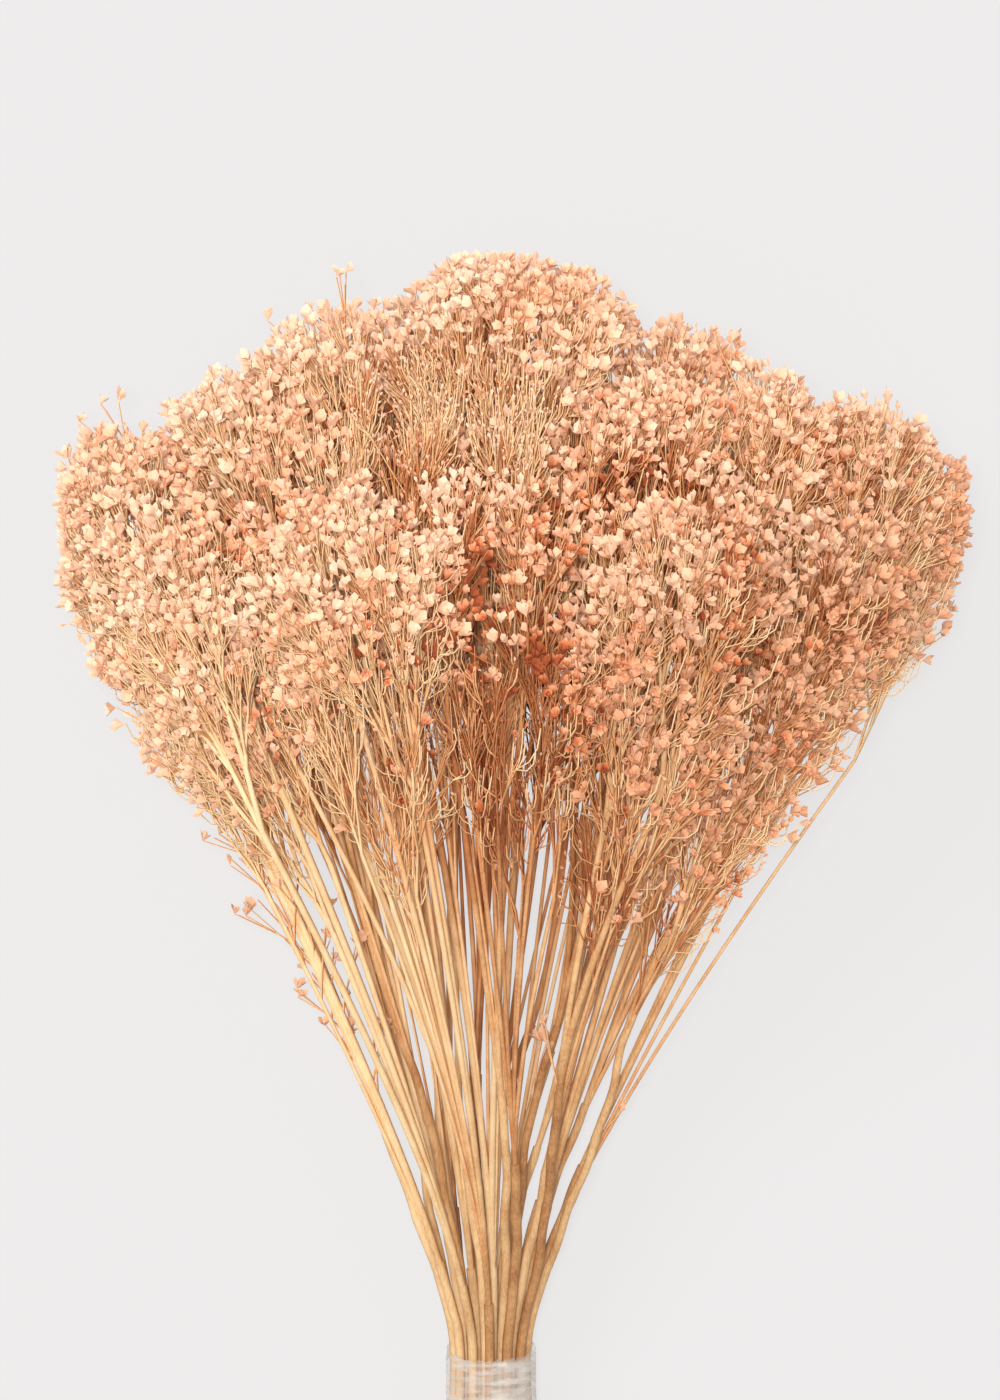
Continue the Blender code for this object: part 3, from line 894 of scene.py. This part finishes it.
    def takes(self, spot, gap):
        """Keeps a place for a twig's end, if no other end is closer than the gap."""
        cell = tuple(int(math.floor(c / FLORET_GAP)) for c in spot)
        near = [
            other
            for dx in (-1, 0, 1) for dy in (-1, 0, 1) for dz in (-1, 0, 1)
            for other in self.taken.get((cell[0] + dx, cell[1] + dy, cell[2] + dz), ())
        ]
        if any((other - spot).length < gap for other in near):
            return False
        self.taken.setdefault(cell, []).append(spot)
        return True


# ---- Flowering sprays --------------------------------------------------------------------------------
# What each stem carries: limbs that leave it at sharp angles and fork again and again into thin twigs, one
# for each place on the crown. Limbs and twigs are stem wood, and taper by the florets beyond them.

SPRAY_SEED = 7
SPRAY_SIDES = 5
SPRAY_THICK_FROM = 0.8 * MM
TWIG_TIP = 0.35 * MM
THICKENING = 0.27
TWIG_TAPER, LIMB_TAPER = 0.85, 0.92
TWIG_STEP, LIMB_STEP = 26 * MM, 20 * MM
BEND = 0.3
FORKS = (2, 3, 4)
FORK_SHARES = (0.45, 0.4, 0.15)
FORK_REACH = 3.2
FORK_CLEAR = 3 * MM
LEAST_AHEAD = 0.12
LEAST_RISE = 0.3
JOINT_SCATTER = 0.03
WOOD_FLOOR = 2.5 * MM
ROUNDS_OF_SORTING = 4
AIM_OUT, AIM_UP, AIM_SCATTER = 0.35, 0.35, 0.5
WHISKER_LENGTH = (16 * MM, 34 * MM)
WHISKER_SHARE = 0.6
WHISKER_LIFT = (2 * MM, 6 * MM)
WHISKER_POINTS = 4
WHISKER_PALER = 0.42
TONE_SCATTER = 0.08
SPRAY_SHADE = (0.5, 0.85)
RIGHT_PAINTED_SHADE = 0.15
RIGHT_REACH = 100 * MM
LIMBS = 2
FREE_FROM = int(115 * MM / STEM_STEP)
LOW_LIMB_LEAST = 20 * MM
LOW_LIMB_ACROSS = np.array((60, 105)) * MM
LOW_LIMB_REACH = np.array((110, 26)) * MM
LOW_LIMB_SHARE = 0.5
HOST_RADIUS = 0.7 * MM


def split(points, count, draw):
    """Sorts points into a few close groups."""
    centres = points[draw.choice(len(points), count, replace=False)]
    for _ in range(ROUNDS_OF_SORTING):
        nearest = np.linalg.norm(points[:, None] - centres[None], axis=2).argmin(axis=1)
        centres = np.array([
            points[nearest == k].mean(axis=0) if np.any(nearest == k) else centres[k] for k in range(count)
        ])
    return [np.flatnonzero(nearest == k) for k in range(count) if np.any(nearest == k)]


def wood_radius(carried, limit):
    """A twig's thickness goes by the florets that it carries."""
    return min(limit, TWIG_TIP * carried**THICKENING)


def bowed(start, through, end, count):
    """A line of points from start to end that bows toward a third place."""
    share = np.linspace(0, 1, count)[:, None]
    return (1 - share) ** 2 * start + 2 * share * (1 - share) * through + share**2 * end


def twig_line(start, heading, end, step):
    """A line that leaves along its parent's heading and bends over to its own end."""
    length = np.linalg.norm(end - start)
    lead = heading * length * BEND
    return bowed(start, start + lead, end, max(1, round(length / step)) + 1)


def grow_tip(strands, crown, k, start, heading, limit, shade):
    """Grows the last twig to one place on the crown, with the floret or bud that stands there."""
    draw = crown.draw
    tip = crown.tips[k]
    if (tip - start) @ ALONG < LEAST_RISE * np.linalg.norm(tip - start):
        return
    line = twig_line(start, heading, tip, TWIG_STEP)
    if crown.proud[k]:
        fan = tip - TIE_MOUTH
        length = min(draw.uniform(*WHISKER_LENGTH), WHISKER_SHARE * np.linalg.norm(tip - start))
        under = tip - fan / np.linalg.norm(fan) * length
        lifted = under + crown.ways[k] * draw.uniform(*WHISKER_LIFT)
        line = bowed(start, lifted, tip, WHISKER_POINTS)
        shade = shade + WHISKER_PALER
    strands.line(line, np.linspace(wood_radius(1, limit), TWIG_TIP * TWIG_TAPER, len(line)), shade)
    if crown.kinds[k] >= 0:
        reach = (tip - start) / (np.linalg.norm(tip - start) + 1e-9)
        aim = reach + AIM_OUT * crown.ways[k] + AIM_UP * ALONG + draw.normal(0, AIM_SCATTER, 3)
        strands.floret(tip, aim / np.linalg.norm(aim), crown.sizes[k], crown.kinds[k], crown.blushes_and_painted_light[k])


def grow(strands, crown, chosen, start, heading, limit, shade_below, shade):
    """Grows the twigs from one fork to all the chosen places beyond it."""
    if len(chosen) == 1:
        grow_tip(strands, crown, chosen[0], start, heading, limit, shade)
        return
    draw = crown.draw
    count = min(len(chosen), draw.choice(FORKS, p=FORK_SHARES))
    for group in split(crown.tips[chosen], count, draw):
        members = chosen[group]
        if len(members) == 1:
            grow_tip(strands, crown, members[0], start, heading, limit, shade)
            continue
        tips = crown.tips[members]
        middle = tips.mean(axis=0)
        spread = np.sqrt(((tips - middle) ** 2).sum(axis=1).mean())
        way = middle - start
        distance = np.linalg.norm(way)
        if way @ ALONG < LEAST_RISE * distance:
            continue
        ahead = max(LEAST_AHEAD * distance, distance - FORK_REACH * spread - FORK_CLEAR)
        joint = start + way / distance * ahead + draw.normal(0, JOINT_SCATTER, 3) * ahead
        joint[2] = max(joint[2], WOOD_FLOOR)
        line = twig_line(start, heading, joint, LIMB_STEP)
        own = wood_radius(len(members), limit)
        tone = np.clip(shade + draw.normal(0, TONE_SCATTER), 0, 1)
        radii = np.linspace(own, own * LIMB_TAPER, len(line))
        strands.line(line, radii, np.linspace(shade_below, tone, len(line)))
        leaving = line[-1] - line[-2]
        leaving = leaving / np.linalg.norm(leaving)
        grow(strands, crown, members, joint, leaving, own * LIMB_TAPER, tone, tone)


draw = np.random.default_rng(SPRAY_SEED)
hosts = []
for number in range(1, STEM_COUNT + 1):
    line, radius, stem_shade = stem_lines[number]
    crown = Crown(number, draw)
    strands = Strands()
    aside = crown.tips[:, 0].mean()
    # Painted shade: sprays to the right get a lower tone, away from the upper-left lamp.
    shade = draw.uniform(*SPRAY_SHADE) - RIGHT_PAINTED_SHADE * np.clip(aside / RIGHT_REACH, -1, 1)
    limbs = split(crown.tips, LIMBS, draw)
    limbs.sort(key=lambda group: crown.tips[group].mean(axis=0) @ ALONG)
    lowest = np.interp(abs(aside), LOW_LIMB_ACROSS, LOW_LIMB_REACH)
    for k, group in enumerate(limbs):
        below = draw.uniform(LOW_LIMB_LEAST, lowest) if k == 0 and number % 2 else 0
        start = max(len(line) - 2 - int(below / STEM_STEP), min(FREE_FROM, len(line) - 2))
        heading = line[start + 1] - line[start]
        heading = heading / np.linalg.norm(heading)
        limit = radius if below == 0 else radius * LOW_LIMB_SHARE
        grow(strands, crown, group, line[start], heading, limit, stem_shade, shade)
    hosts += [p for p, r in zip(strands.points, strands.radii) if r > HOST_RADIUS]
    node = f"flower_spray_{number:02d}"
    spray = grown(f"blooming_{node[7:]}", strands, SPRAY_SIDES, SPRAY_THICK_FROM)
    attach(spray, "root")
    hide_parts(node)


# ---- Stray twigs -------------------------------------------------------------------------------------
# Thin side twigs that grew out past the rest and were not trimmed, each with one to three florets. Each
# springs from the nearest stem or limb below its own place.

STRAYS = np.array((
    (-166, 215, 95), (-173, 207, 90), (-92, 249, 130), (-67, 262, 150), (81, 241, 140), (173, 136, 100),
    (172, 126, 95), (105, 48, 110), (41, -76, 60), (-73, -4, 90), (-71, -40, 80), (-53, -36, 85),
    (11, -46, 85), (-122, 40, 75), (-112, 8, 70), (-90, -22, 65), (-104, 30, 95), (-88, 20, 110),
    (-62, -2, 95), (70, 10, 110), (52, 20, 125), (88, 30, 110), (-132, 60, 80), (-112, 52, 100),
    (-115, 32, 90), (-104, 15, 85), (-93, -1, 85), (-82, -15, 80), (-71, -31, 75), (-66, -45, 72),
    (-57, -40, 85), (-76, 4, 100), (-87, 26, 105), (-24, 46, 150), (14, -40, 105), (-5, 27, 140),
)) * MM
STRAY_RUN = 28 * MM
STRAY_STEP = 12 * MM
STRAY_FOOT = 0.7 * MM
STRAY_SHADE, STALK_SHADE = 0.6, 0.7
MOST_STRAY_FLORETS = 3
STRAY_FLORET_SPREAD = 3 * MM
STRAY_BLUSH = 0.1

strands = Strands()
hosts = np.concatenate([hosts, *[line for line, _, _ in stem_lines.values()]])
for spot in STRAYS:
    below = (spot - hosts) @ ALONG
    start = hosts[np.where(below > STRAY_RUN, np.linalg.norm(spot - hosts, axis=1), np.inf).argmin()]
    line = twig_line(start, ALONG, spot, STRAY_STEP)
    strands.line(line, np.linspace(STRAY_FOOT, TWIG_TIP, len(line)), STRAY_SHADE)
    for _ in range(draw.integers(1, MOST_STRAY_FLORETS + 1)):
        tip = spot + draw.normal(0, STRAY_FLORET_SPREAD, 3)
        stalk = twig_line(line[-2], spot - line[-2], tip, STRAY_STEP)
        strands.line(stalk, np.full(len(stalk), TWIG_TIP), STALK_SHADE)
        aim = ALONG + draw.normal(0, AIM_SCATTER, 3)
        size = draw.uniform(*FLORET_WIDTH)
        strands.floret(tip, aim, size, draw.choice(5, p=FLORET_KINDS), STRAY_BLUSH)
stray = grown("stray_twigs", strands, SPRAY_SIDES, SPRAY_THICK_FROM)
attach(stray, "root")

# The five loose floret shapes are not part of the bundle, so they go.
for shape in list(petal_shapes.objects):
    bpy.data.objects.remove(shape)
bpy.data.collections.remove(petal_shapes)


# ---- Tie ---------------------------------------------------------------------------------------------
# Clear plastic wrapping film, wound a little more than once round the stems and pressed on, so that it
# clings to itself. It was torn off the roll, not cut, so its edges are ragged.

FILM_THICKNESS = 0.12 * MM
FILM_TURNS = 1.25
FILM_COLUMNS = 220
FILM_ROWS = 14
FILM_HALF = 20.5 * MM
FILM_LAYER = 0.3 * MM
TORN_EDGE = 2.6 * MM
TORN_LEAST = 0.4
TEARS_A_RADIAN, NICKS_A_RADIAN = 3, 11
NICK_SHARE = 0.6
EDGE_ONLY = 6
CRINKLE = 0.35 * MM
CRINKLES_A_RADIAN = 5
CRINKLE_HEIGHT = 4 * MM
CREASE_WIDTH = 3 * MM
CREASE_LENGTH = 12 * MM
OUTSIDE = 60 * MM

# Stretch film, blown thin from soft polyethylene: clear where it lies flat and milky where it creased, with
# a wet-looking gloss on the creases.
crinkled_film, tree, shader = new_material("crinkled wrapping film")
shader.inputs["Base Color"].default_value = linear("f3ece2")
shader.inputs["Roughness"].default_value = 0.28
place = add_node(tree, "ShaderNodeTexCoord")
pulled = add_node(
    tree, "ShaderNodeMapping", {"Vector": place.outputs["Object"]},
    inputs={"Rotation": (-TILT, 0, 0), "Scale": (1 / CREASE_LENGTH, 1 / CREASE_WIDTH, 1 / CREASE_LENGTH)},
)
creases = add_node(
    tree, "ShaderNodeTexNoise", {"Vector": pulled.outputs[0]}, {"Scale": 1.0, "Detail": 3.0}
)
milky = add_node(
    tree, "ShaderNodeMapRange", {"Value": creases.outputs[0]},
    {"From Min": 0.4, "From Max": 0.75, "To Min": 0.12, "To Max": 0.55},
)
tree.links.new(milky.outputs[0], shader.inputs["Alpha"])
ridges = add_node(
    tree, "ShaderNodeBump", {"Height": creases.outputs[0]}, {"Strength": 0.5, "Distance": 0.3 * MM}
)
tree.links.new(ridges.outputs["Normal"], shader.inputs["Normal"])


def film_height(turn, share):
    """How high a point of the film stands from its middle, with both edges torn."""
    tear = noise.noise(Vector((turn * TEARS_A_RADIAN, share, 0)))
    tear += NICK_SHARE * noise.noise(Vector((turn * NICKS_A_RADIAN, share, 5)))
    torn_off = abs(share) ** EDGE_ONLY * math.copysign(TORN_EDGE, share) * (TORN_LEAST + tear)
    return share * FILM_HALF - torn_off


film_points = []
band_skin = skin_of(solid_triangles(frame["nodes"]["tie_band"]).reshape(-1, 3))
for column in range(FILM_COLUMNS):
    turn = math.tau * FILM_TURNS * column / (FILM_COLUMNS - 1)
    outward = Vector((math.cos(turn), 0, 0)) + Vector(THROUGH) * math.sin(turn)
    for row in range(FILM_ROWS):
        height = film_height(turn, 2 * row / (FILM_ROWS - 1) - 1)
        middle = Vector(TIE_MOUTH) + Vector(ALONG) * min(FILM_HALF, max(-FILM_HALF, height))
        wall = band_skin.ray_cast(middle + outward * OUTSIDE, -outward)[0]
        crinkle = noise.noise(Vector((turn * CRINKLES_A_RADIAN, height / CRINKLE_HEIGHT, 9)))
        lift = FILM_LAYER * (turn / math.tau - 1) + CRINKLE * crinkle
        film_points.append(wall + outward * lift)
film_faces = [
    (k, k + FILM_ROWS, k + FILM_ROWS + 1, k + 1)
    for column in range(FILM_COLUMNS - 1)
    for k in range(column * FILM_ROWS, column * FILM_ROWS + FILM_ROWS - 1)
]
film_mesh = bpy.data.meshes.new("wrapped_film")
film_mesh.from_pydata([p[:] for p in film_points], [], film_faces)
wrap = bpy.data.objects.new("wrapped_film_sheet", film_mesh)
bpy.context.scene.collection.objects.link(wrap)
thickness = wrap.modifiers.new("thickness", "SOLIDIFY")
thickness.thickness = FILM_THICKNESS
graph = bpy.context.evaluated_depsgraph_get()
film = bpy.data.objects.new("wrapped_film", bpy.data.meshes.new_from_object(wrap.evaluated_get(graph)))
bpy.data.objects.remove(wrap)
bpy.context.scene.collection.objects.link(film)
shape = bmesh.new()
shape.from_mesh(film.data)
bmesh.ops.recalc_face_normals(shape, faces=shape.faces)
shape.to_mesh(film.data)
shape.free()
film.data.shade_smooth()
film.data.materials.append(crinkled_film)
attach(film, "root")
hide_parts("tie_band")
